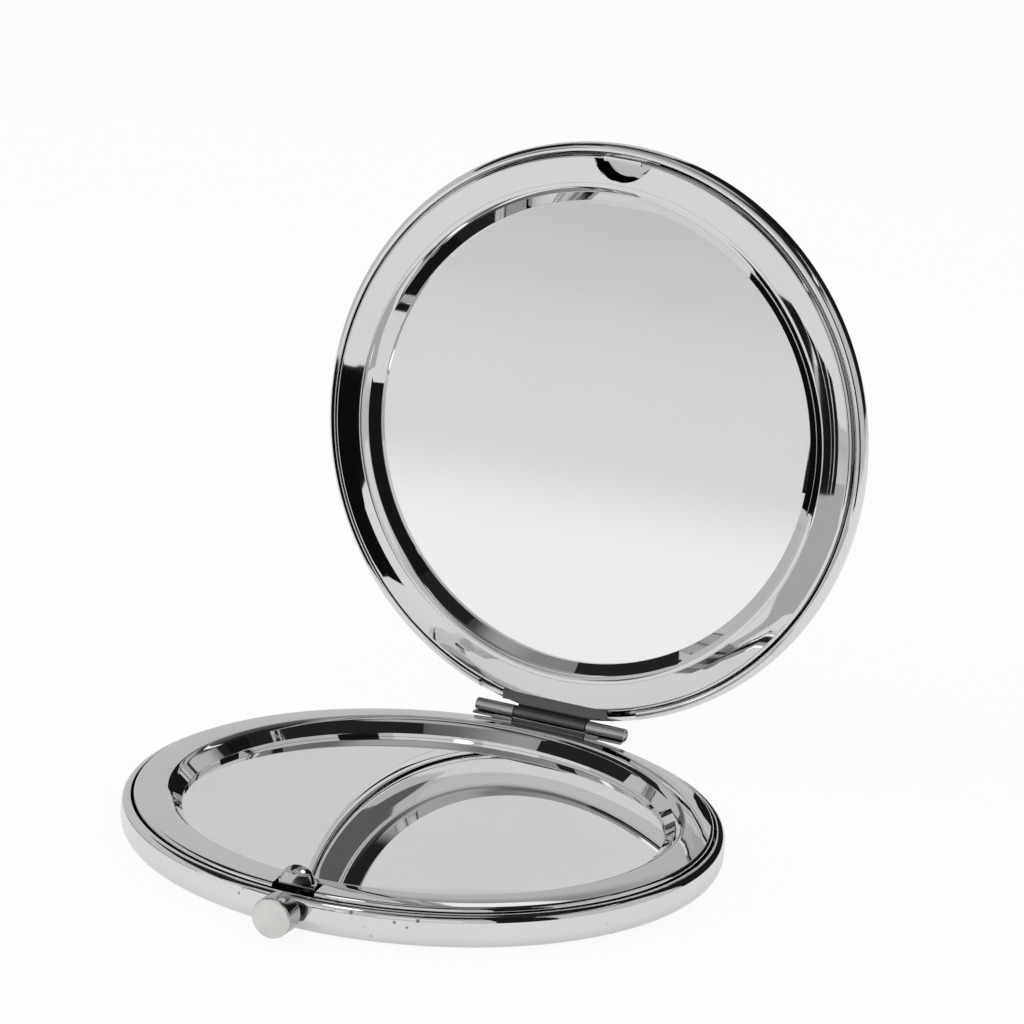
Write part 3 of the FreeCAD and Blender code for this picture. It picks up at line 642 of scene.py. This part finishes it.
def pad_disc(height):
    """Foam disc behind the glass."""
    floor = SHELL_SHEET + PAD_CLEAR
    top = height - (GLASS_BELOW + GLASS_THICKNESS) - PAD_CLEAR
    return turned([(0, floor), (PAD_RADIUS, floor, PAD_ROUND), (PAD_RADIUS, top, PAD_ROUND),
                   (0, top)], steps=PAD_STEPS)


piece(glass_disc(BASE_HEIGHT), "base_mirror", "base", glass_finish)
piece(swung(glass_disc(LID_HEIGHT)), "lid_mirror", "lid", glass_finish)
base_pad = piece(pad_disc(BASE_HEIGHT), "base_foam_pad", "base", foam_finish)
lid_pad = piece(swung(pad_disc(LID_HEIGHT)), "lid_foam_pad", "lid", foam_finish)

# %% [markdown]
# ## Hinge
# The leaves are strip: a flange spot-welded to the frame's fold, a web, and knuckles rolled
# round the pin. A knuckle could be a tube, but the real one shows where the roll ends.
# Spinning the end face of the strip about the pin's axis rolls it as the tool does.

# %% Strip and rolled knuckles
FLANGE_HALF, FLANGE_DEPTH = 6.89, 2.0
KNUCKLE_CLEAR, KNUCKLE_SHEET, KNUCKLE_OVERLAP = 34.0, 0.25, 0.2
ROLL_ANGLE, ROLL_STEPS = 305, 40


def leaf_strip(height):
    """Flange and web of a leaf, bent from one strip."""
    web = height + HALF_GAP - KNUCKLE_RADIUS
    flange = block((-FLANGE_HALF, FLAT_Y, web - FLANGE_DEPTH),
                   (FLANGE_HALF, FLAT_Y + SHEET, web + SHEET))
    return boolean(flange, block((-FLANGE_HALF, FLAT_Y, web),
                                 (FLANGE_HALF, KNUCKLE_CLEAR, web + SHEET)), "UNION")


def knuckle(height, left, right):
    """Strip rolled almost once round the pin's axis."""
    axis_z = height + HALF_GAP
    strip = block((left, KNUCKLE_CLEAR - KNUCKLE_OVERLAP, axis_z - KNUCKLE_RADIUS),
                  (right, HINGE_Y, axis_z - KNUCKLE_RADIUS + KNUCKLE_SHEET))
    end = max(strip.faces, key=lambda face: face.calc_center_median().y)
    bmesh.ops.spin(strip, geom=[end], cent=(0, HINGE_Y * MM, axis_z * MM), axis=(1, 0, 0),
                   angle=math.radians(ROLL_ANGLE), steps=ROLL_STEPS)
    bmesh.ops.remove_doubles(strip, verts=strip.verts, dist=MERGE)
    bmesh.ops.recalc_face_normals(strip, faces=strip.faces)
    return strip


print("knuckles are", 2 * KNUCKLE_RADIUS, "mm across, rolled by", ROLL_ANGLE, "degrees")

# %% [markdown]
# The base carries the two outer knuckles and the lid the middle one, with a little play
# between them. A cut edge is never quite sharp, and polished metal shows it, so the edges of
# each knuckle are taken off by a small bevel before it is joined to its leaf.

# %% Leaves
OUTER_FROM, MIDDLE_TO = 4.85, 4.75
KNUCKLE_BREAK, BREAK_SEGMENTS = 0.06, 3


def broken_edges(bm, width):
    """Sharp edges of a form taken off by a small round."""
    bm.normal_update()
    edges = [edge for edge in bm.edges
             if len(edge.link_faces) == 2 and edge.calc_face_angle() > SHARP]
    bmesh.ops.bevel(bm, geom=edges, offset=width * MM, offset_type="OFFSET",
                    segments=BREAK_SEGMENTS, profile=0.5, affect="EDGES", clamp_overlap=True,
                    material=-1)
    return bm


def leaf(height, spans):
    """Strip of one half with its knuckles, each given by its left and right end."""
    made = leaf_strip(height)
    for left, right in spans:
        rolled = broken_edges(knuckle(height, left, right), KNUCKLE_BREAK)
        made = boolean(made, rolled, "UNION")
    return made


base_leaf = leaf(BASE_HEIGHT, [(-HINGE_HALF, -OUTER_FROM), (OUTER_FROM, HINGE_HALF)])
lid_leaf = leaf(LID_HEIGHT, [(-MIDDLE_TO, MIDDLE_TO)])
piece(base_leaf, "base_hinge_leaf", "base", hinge_plating)
# The lid's leaf takes the near-black colour of painted shade.
piece(swung(lid_leaf), "lid_hinge_leaf", "lid", shaded_leaf_plating)

# %% [markdown]
# The pin is a short length of wire with rounded ends, laid along the axis of the knuckles. It
# could be a bevelled cylinder. It is turned upright like the other round pieces and then laid
# down, because a turned section gives it its rounded ends at once.

# %% Hinge pin
PIN_RADIUS, PIN_ROUND, PIN_STEPS = 0.45, 0.2, 32
pin = turned([(0, -HINGE_HALF), (PIN_RADIUS, -HINGE_HALF, PIN_ROUND),
              (PIN_RADIUS, HINGE_HALF, PIN_ROUND), (0, HINGE_HALF)], steps=PIN_STEPS)
pin_place = Matrix.Translation(hinge_point) @ Matrix.Rotation(math.pi / 2, 4, "Y")
bmesh.ops.transform(pin, matrix=pin_place, verts=pin.verts)
piece(pin, "hinge_pin", "base", hinge_plating)

# %% [markdown]
# ## Button
# The button is turned in one piece with its stem, whose tail is riveted through the hook
# plate. Cap and stem could be two cylinders joined by a boolean. A lathe makes the real one
# in one go, and so does a turned section: tail, stem and cap are the corners of one line.

# %% Turned button
HOOK_FRONT = 32.75
RIVET_RADIUS, RIVET_BACK, RIVET_ROUND = 0.5, 31.7, 0.1
STEM_RADIUS = 0.85
CAP_RADIUS, CAP_BACK, CAP_FRONT, CAP_ROUND = 2.35, 35.9, 38.9, 0.3
BUTTON_STEPS = 96
button = turned([(0, RIVET_BACK), (RIVET_RADIUS, RIVET_BACK, RIVET_ROUND),
                 (RIVET_RADIUS, HOOK_FRONT), (STEM_RADIUS, HOOK_FRONT), (STEM_RADIUS, CAP_BACK),
                 (CAP_RADIUS, CAP_BACK, CAP_ROUND), (CAP_RADIUS, CAP_FRONT, CAP_ROUND),
                 (0, CAP_FRONT)], steps=BUTTON_STEPS)
bmesh.ops.transform(button, matrix=button_place, verts=button.verts)
piece(button, "latch_button", "latch", button_nickel)

# %% [markdown]
# ## Hook
# The hook is stamped from plate and coined: its nose slopes, so that the lid can push it back
# as it shuts, its shoulders are round and its front is crowned. It could be sculpted from a
# cube, but it has two clear outlines, one from the side and one from the front, so it is what
# two drawn-out plates have in common.

# %% Outlines drawn out to plates
PLATE_SEGMENTS = 16


def plate(corners, axis, low, high):
    """Flat outline in millimetres drawn out along X or Y; a third number rounds a corner."""
    bm = bmesh.new()
    at = {"X": lambda a, b: (low, a, b), "Y": lambda a, b: (a, low, b)}[axis]
    reach = Vector((high - low, 0, 0)) if axis == "X" else Vector((0, high - low, 0))
    points = [bm.verts.new(Vector(at(corner[0], corner[1])) * MM) for corner in corners]
    bm.faces.new(points)
    for corner, point in zip(corners, points):
        if len(corner) == 3:
            bmesh.ops.bevel(bm, geom=[point], offset=corner[2] * MM, offset_type="OFFSET",
                            segments=PLATE_SEGMENTS, profile=0.5, affect="VERTICES",
                            material=-1)
    drawn = bmesh.ops.extrude_face_region(bm, geom=bm.faces[:])
    ends = [item for item in drawn["geom"] if isinstance(item, bmesh.types.BMVert)]
    bmesh.ops.translate(bm, vec=reach * MM, verts=ends)
    bmesh.ops.recalc_face_normals(bm, faces=bm.faces)
    return bm


print("segments in a plate's rounded corner:", PLATE_SEGMENTS)

# %% [markdown]
# The side outline has the nose, and the front outline the round shoulders. A rod crowns the
# front, and the sharp edges that are left are broken by a small bevel, as on the knuckles.

# %% Hook plate
HOOK_BACK, HOOK_BOTTOM, HOOK_TOP, HOOK_HALF = 32.2, 0.85, 7.0, 2.3
HEAD_BACK_ROUND, HEAD_FRONT_ROUND, SHOULDER_ROUND = 0.25, 0.45, 2.1
NOSE_FRONT, NOSE_LOW, NOSE_HIGH = 33.4, 5.95, 6.35
NOSE_ROUND, NOSE_UNDER_ROUND = 0.3, 0.15
FRONT_FROM, FRONT_TO = -34, -31
CROWN_Y, CROWN_RADIUS, CROWN_TOP, CROWN_SEGMENTS = -29.4, 4.0, 8, 128
HOOK_BREAK = 0.2
side = plate([(-HOOK_FRONT, HOOK_BOTTOM), (-HOOK_BACK, HOOK_BOTTOM),
              (-HOOK_BACK, HOOK_TOP, HEAD_BACK_ROUND), (-HOOK_FRONT, HOOK_TOP, HEAD_FRONT_ROUND),
              (-NOSE_FRONT, NOSE_HIGH, NOSE_ROUND), (-NOSE_FRONT, NOSE_LOW, NOSE_UNDER_ROUND),
              (-HOOK_FRONT, NOSE_LOW)], "X", -HOOK_HALF, HOOK_HALF)
front = plate([(-HOOK_HALF, 0), (HOOK_HALF, 0), (HOOK_HALF, HOOK_TOP, SHOULDER_ROUND),
               (-HOOK_HALF, HOOK_TOP, SHOULDER_ROUND)], "Y", FRONT_FROM, FRONT_TO)
hook = boolean(side, front, "INTERSECT")
hook = boolean(hook, rod(0, CROWN_Y, CROWN_RADIUS, 0, CROWN_TOP, CROWN_SEGMENTS), "INTERSECT")
hook = broken_edges(hook, HOOK_BREAK)
print("hook plate:", len(hook.faces), "faces before its head is domed")

# %% [markdown]
# The head of the hook is domed and catches one round highlight. A wider bevel would leave
# facets there, so the head is trimmed by a stretched sphere that stands on a block, which
# leaves everything below it alone. The foot that slides in the guide is joined on last.

# %% Domed head and foot
DOME_MIDDLE, DOME_HALF = Vector((0, -31.6, 4.6)), (2.45, 1.85, 2.4)
DOME_SEGMENTS, DOME_RINGS = 96, 48
BELOW_HALF, BELOW_FRONT, BELOW_BACK, BELOW_TOP = 2.6, 33.6, 29.5, 4.9
FOOT_HALF, FOOT_FRONT, FOOT_BACK, FOOT_TOP = 3.4, 33.02, 30.2, 1.2
dome = bmesh.new()
bmesh.ops.create_uvsphere(dome, u_segments=DOME_SEGMENTS, v_segments=DOME_RINGS, radius=MM,
                          matrix=Matrix.Translation(DOME_MIDDLE * MM)
                          @ Matrix.Diagonal((*DOME_HALF, 1)))
below = block((-BELOW_HALF, -BELOW_FRONT, 0), (BELOW_HALF, -BELOW_BACK, BELOW_TOP))
dome = boolean(dome, below, "UNION")
hook = boolean(hook, dome, "INTERSECT")
foot = block((-FOOT_HALF, -FOOT_FRONT, HOOK_BOTTOM), (FOOT_HALF, -FOOT_BACK, FOOT_TOP))
hook = boolean(hook, foot, "UNION")
piece(hook, "latch_slider", "latch", hook_nickel)

# %% [markdown]
# ## Hidden steel
# The guide and the spring lie under the frame, where nothing shows them. They could be
# modelled again, but their CAD forms are right as they are, so they stay, and only need the
# finish of bare steel.

# %% Guide and spring
for name in ("latch_guide", "latch_spring"):
    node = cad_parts[name]
    node.data.materials.clear()
    node.data.materials.append(steel_finish)
    print(name, "is bare steel")

# %% [markdown]
# ## Table
# The photograph stands on plain white paper. The camera and the polished metal both see it as
# white near the object, by Light Path. Further out the paper is painted darker and its glow for
# the metal fades: a painted fall-off of light to grey, which draws the soft horizon in the
# upright mirror. The rest of the light rays meet an ordinary matt table, so the shadow stays.

# %% Paper finish
# The glow that mirrors see near the object is a painted pool of light; the far paper colour is
# painted shade.
PAPER, NEAR_GLOW = 0.92, 0.45
NEAR_PAPER, FAR_PAPER_SHADED = 0.88, 0.7
FALL_FROM, FALL_TO = 0.2, 0.46


def seen_rays(tree):
    """Rays of the camera, and rays that reach it by a mirror or through glass."""
    rays = tree.nodes.new("ShaderNodeLightPath")
    camera_ray, glossy_ray, glass_ray = (
        Wire(tree, rays.outputs[name])
        for name in ("Is Camera Ray", "Is Glossy Ray", "Is Transmission Ray"))
    return camera_ray, glossy_ray + glass_ray


def table_finish():
    """Matt paper that the camera sees as white, and the metal as white near the object, with a
    painted fall-off of light to grey further out.
    """
    finish, shader, place = new_finish("white_table")
    shader.inputs["Roughness"].default_value = 0.9
    tree = finish.node_tree
    camera_ray, mirror_ray = seen_rays(tree)
    reach = place.node("ShaderNodeVectorMath", {"operation": "LENGTH"}, {0: place}, "Value")
    # Painted fall-off of light: the paper's colour darkens and its glow for mirrors fades with
    # distance.
    far = reach.step(FALL_FROM, FALL_TO)
    far.blend(grey(NEAR_PAPER), grey(FAR_PAPER_SHADED)).feed(shader, "Base Color")
    glow = place.node("ShaderNodeEmission", None, {"Color": grey(1), "Strength": 1.0})
    white = PAPER * camera_ray + NEAR_GLOW * mirror_ray * (1 - far)
    matt = Wire(tree, shader.outputs[0])
    paper = place.node("ShaderNodeMixShader", None, {0: white, 1: matt, 2: glow})
    paper.feed(tree.nodes["Material Output"], "Surface")
    return finish


paper_finish = table_finish()
print("table finish:", paper_finish.name)

# %% [markdown]
# The table is one flat disc, far wider than the object. It lies a hair below the base, because
# two surfaces at one height would show through each other. It belongs to the studio, as the tent
# and cards do.

# %% White table
TABLE_RADIUS = 2.0
TABLE_BELOW = 0.03 * MM
TABLE_SEGMENTS = 96


def staged(bm, name, finish):
    """Object of the studio, not of the compact."""
    mesh = bpy.data.meshes.new(name)
    bm.to_mesh(mesh)
    bm.free()
    mesh.materials.append(finish)
    made = bpy.data.objects.new(name, mesh)
    bpy.context.scene.collection.objects.link(made)
    return made


table_form = bmesh.new()
bmesh.ops.create_circle(table_form, cap_ends=True, segments=TABLE_SEGMENTS, radius=TABLE_RADIUS)
table = staged(table_form, "table", paper_finish)
table.location.z = -TABLE_BELOW
print("table radius:", TABLE_RADIUS, "m")

# %% [markdown]
# ## Tent
# Polished metal shows the room, so the room is most of its look. A photographer hangs a grey
# tent round such a piece. Panels with hard edges would show as blocks in the bevels, so the
# tent is one turned dome whose glow changes smoothly: grey walls, a thin bright ring above
# them, and a crown that is dark except in front on the left and at its very top. Only
# reflections see it: it neither blocks the light nor shows in the picture.

# %% Glow of the tent
WALL_GREY, RING_BRIGHT, TOP_GREY = 0.63, 1.2, 0.5
CROWN_DARK, CROWN_BRIGHT = 0.02, 0.4
WALL_END, TOP_START = (0.64, 0.74), (0.955, 0.985)
RING_START, RING_END = (0.742, 0.75), (0.772, 0.78)
LIT_FRONT, LIT_LEFT = (-0.25, 0.35), (-0.3, 0.4)


def tent_finish():
    """Glow of the tent; rise, front and left are shares of its radius."""
    finish, shader, place = new_finish("tent")
    shader.inputs["Base Color"].default_value = grey(0)
    shader.inputs["Specular IOR Level"].default_value = 0.0
    shader.inputs["Emission Strength"].default_value = 1.0
    rise = place.along("Z") * (1 / TABLE_RADIUS)
    front = place.along("Y") * (-1 / TABLE_RADIUS)
    left = place.along("X") * (-1 / TABLE_RADIUS)
    lit = front.step(*LIT_FRONT) * left.step(*LIT_LEFT)
    crown = lit.blend(grey(CROWN_DARK), grey(CROWN_BRIGHT))
    crown = rise.step(*TOP_START).blend(crown, grey(TOP_GREY))
    walls = rise.step(*WALL_END).blend(grey(WALL_GREY), crown)
    ring = rise.step(*RING_START) * (1 - rise.step(*RING_END))
    ring.blend(walls, grey(RING_BRIGHT)).feed(shader, "Emission Color")
    return finish


tent_glow = tent_finish()
print("tent finish:", tent_glow.name)

# %% [markdown]
# The dome itself is a quarter arc turned like any round piece. It could be half of a sphere
# primitive, but that would have to be cut, and the arc ends at the edge of the table.

# %% Hung tent
TENT_DEGREES, TENT_STEPS = 3, 96


def reflected_only(prop):
    """Studio object that only reflections see."""
    prop.visible_camera = False
    prop.visible_diffuse = False
    prop.visible_shadow = False


tent_arc = [(TABLE_RADIUS / MM * math.cos(math.radians(angle)),
             TABLE_RADIUS / MM * math.sin(math.radians(angle)))
            for angle in range(0, 91, TENT_DEGREES)]
reflected_only(staged(turned(tent_arc, steps=TENT_STEPS), "tent", tent_glow))
print("tent hung at", TABLE_RADIUS, "m")

# %% [markdown]
# ## Flags and cards
# Black flags give the dark bands that make metal read as metal, and white cards the bright
# ones. They could be painted into the glow of the tent, but they stand nearer than it, so
# that each band falls where it should. A card is a flat face with an even glow.

# %% Card maker
def card_finish(name, brightness):
    """Even glow of a card, from black at 0 to paper white at 1."""
    finish = bpy.data.materials.new(name)
    finish.use_nodes = True
    tree = finish.node_tree
    tree.nodes.remove(tree.nodes["Principled BSDF"])
    light = tree.nodes.new("ShaderNodeEmission")
    light.inputs["Color"].default_value = grey(brightness)
    tree.links.new(light.outputs[0], tree.nodes["Material Output"].inputs["Surface"])
    return finish


def card(name, points, brightness):
    """Flat card through points in metres."""
    bm = bmesh.new()
    bm.faces.new([bm.verts.new(point) for point in points])
    reflected_only(staged(bm, name, card_finish(name, brightness)))
    print(name, "set at brightness", brightness)


# %% [markdown]
# Each hung card is given as a photographer would set it: between two bearings from the front,
# between two elevations, at a distance in metres, and with a brightness. Its corners could be
# typed in as points, but angles are what the eye compares with the photograph.

# %% Hung cards
def direction(bearing, elevation, distance):
    """Point in metres; a bearing is in degrees from the front, positive to the right."""
    turn, rise = math.radians(bearing), math.radians(elevation)
    return Vector((math.sin(turn) * math.cos(rise), -math.cos(turn) * math.cos(rise),
                   math.sin(rise))) * distance


def hung_card(name, bearings, elevations, distance, brightness):
    """Card that fills the given bearings and elevations."""
    left, right = bearings
    low, high = elevations
    corners = ((left, low), (right, low), (right, high), (left, high))
    card(name, [direction(*corner, distance) for corner in corners], brightness)


hung_card("left_light", (-62, -31), (-0.2, 20), 0.66, 0.90)
hung_card("top_light", (-32, -2), (2, 23), 1.2, 0.90)
hung_card("front_light", (-31, -12), (23, 34), 1.2, 0.70)
hung_card("camera_light", (10, 42), (8, 30), 1.2, 0.85)
hung_card("left_flag", (-46, -33), (23, 36), 0.9, 0.14)
hung_card("side_flag", (51, 73), (-1, 64), 0.2, 0.01)
hung_card("side_crown", (32, 76), (48, 78), 0.5, 0.02)
hung_card("rear_flag", (135, 194), (-1, 60), 0.6, 0.01)
hung_card("left_crown", (-125, -60), (31, 60), 1.0, 0.02)

# %% [markdown]
# Five narrow flags side by side put the fine dark stripes on the right of the lid. One flag
# with a striped material would do too, but separate strips have clean edges and gaps.

# %% Striped flags
STRIPES = ((-18.5, -16.2), (-15.8, -13.2), (-12.8, -10.2), (-9.8, -7.2), (-6.7, -4.2))
STRIPE_ELEVATIONS, STRIPE_DISTANCE, STRIPE_BLACK = (-0.5, 9), 0.45, 0.01
for number, bearings in enumerate(STRIPES, start=1):
    hung_card("right_flag_%d" % number, bearings, STRIPE_ELEVATIONS, STRIPE_DISTANCE,
              STRIPE_BLACK)

# %% [markdown]
# A small round reflector hangs close over the hook and puts the white spot on its domed head.
# A lamp could do that, but it would also put a spot on every other curved edge, and a card
# this small and near is hardly seen by anything but the hook.

# %% Hook light
HOOK_HEAD = Vector((0, -33, 6)) * MM
REFLECTOR_BEARING, REFLECTOR_ELEVATION, REFLECTOR_DISTANCE = 10, 63, 0.025
REFLECTOR_RADIUS, REFLECTOR_SEGMENTS, REFLECTOR_BRIGHT = 5.0 * MM, 48, 2.0
hook_aim = direction(REFLECTOR_BEARING, REFLECTOR_ELEVATION, REFLECTOR_DISTANCE)
reflector_place = (Matrix.Translation(HOOK_HEAD + hook_aim)
                   @ hook_aim.to_track_quat("Z", "Y").to_matrix().to_4x4())
hook_light = bmesh.new()
bmesh.ops.create_circle(hook_light, cap_ends=True, segments=REFLECTOR_SEGMENTS,
                        radius=REFLECTOR_RADIUS, matrix=reflector_place)
reflected_only(staged(hook_light, "hook_light", card_finish("hook_light", REFLECTOR_BRIGHT)))
print("hook light hung", round(hook_aim.length, 3), "m from the hook")

# %% [markdown]
# A black and a grey card lie on the table in front, where the upright lid sees them. They give
# the long dark sweep on the lid's left and the grey along its lower edge. A card between two
# bearings would cut the sweep off straight, so their outlines are given corner by corner.

# %% Lying cards
CARD_HEIGHT = 0.5


def lying_card(name, corners, brightness):
    """Flat card on the table with its corners in millimetres."""
    card(name, [Vector((x, y, CARD_HEIGHT)) * MM for x, y in corners], brightness)


lying_card("lying_flag", [(-58, 25), (-62, -35), (-112, -100), (-240, -380), (-330, -560),
                          (-620, -420), (-420, 40)], 0.005)
lying_card("lying_grey", [(-10, -62), (-12, -100), (-34, -180), (-70, -280), (-160, -536),
                          (60, -560), (120, -62)], 0.5)

# %% [markdown]
# ## Light
# The light is soft and even: a white surround at a plain level and one broad, weak lamp above,
# to the left of the camera, which gives the shadow its side. The lamp is hidden from
# reflections, because the tent and cards already are all that the metal should see.

# %% World and lamp
SKY_LEVEL = 0.8
LAMP_SIZE, LAMP_WATTS = 0.5, 2
LAMP_PLACE = (-0.45, -0.5, 0.95)
world = bpy.data.worlds.new("studio")
bpy.context.scene.world = world
world.use_nodes = True
sky = world.node_tree
camera_ray, mirror_ray = seen_rays(sky)
seen = camera_ray + mirror_ray
seen.blend(grey(SKY_LEVEL), grey(1)).feed(sky.nodes["Background"], "Color")
lamp = bpy.data.lights.new("softbox", "AREA")
lamp.size = LAMP_SIZE
lamp.energy = LAMP_WATTS
softbox = bpy.data.objects.new("softbox", lamp)
softbox.location = LAMP_PLACE
softbox.rotation_euler = (-softbox.location).to_track_quat("-Z", "Y").to_euler()
bpy.context.scene.collection.objects.link(softbox)
softbox.visible_glossy = False
print("lamp of", lamp.energy, "watts")

# %% [markdown]
# ## Camera
# The camera stands where the photograph was taken: to the right of the front and a little
# above, rolled by a few degrees, with a long lens. A Track To constraint could aim it, but
# knows no roll, so its three axes are worked out and set as one matrix.

# %% Camera
AZIMUTH, ELEVATION, ROLL = 23.73, 16.92, math.radians(4.36)
DISTANCE = 0.6782
LENS, SENSOR = 210.3, 36
target = Vector((8.22, 0, 41.55)) * MM
back = direction(AZIMUTH, ELEVATION, 1)
right = (-back).cross(Vector((0, 0, 1))).normalized()
up = right.cross(-back)
turned_right = right * math.cos(ROLL) + up * math.sin(ROLL)
turned_up = up * math.cos(ROLL) - right * math.sin(ROLL)
camera = bpy.data.cameras.new("photo_camera")
camera.lens = LENS
camera.sensor_width = SENSOR
view = bpy.data.objects.new("photo_camera", camera)
view.matrix_world = Matrix.Translation(target + back * DISTANCE) @ Matrix(
    (turned_right, turned_up, back)).transposed().to_4x4()
bpy.context.scene.collection.objects.link(view)
bpy.context.scene.camera = view
bpy.context.scene.view_settings.view_transform = "Standard"
print("camera at", [round(value, 3) for value in view.matrix_world.translation])
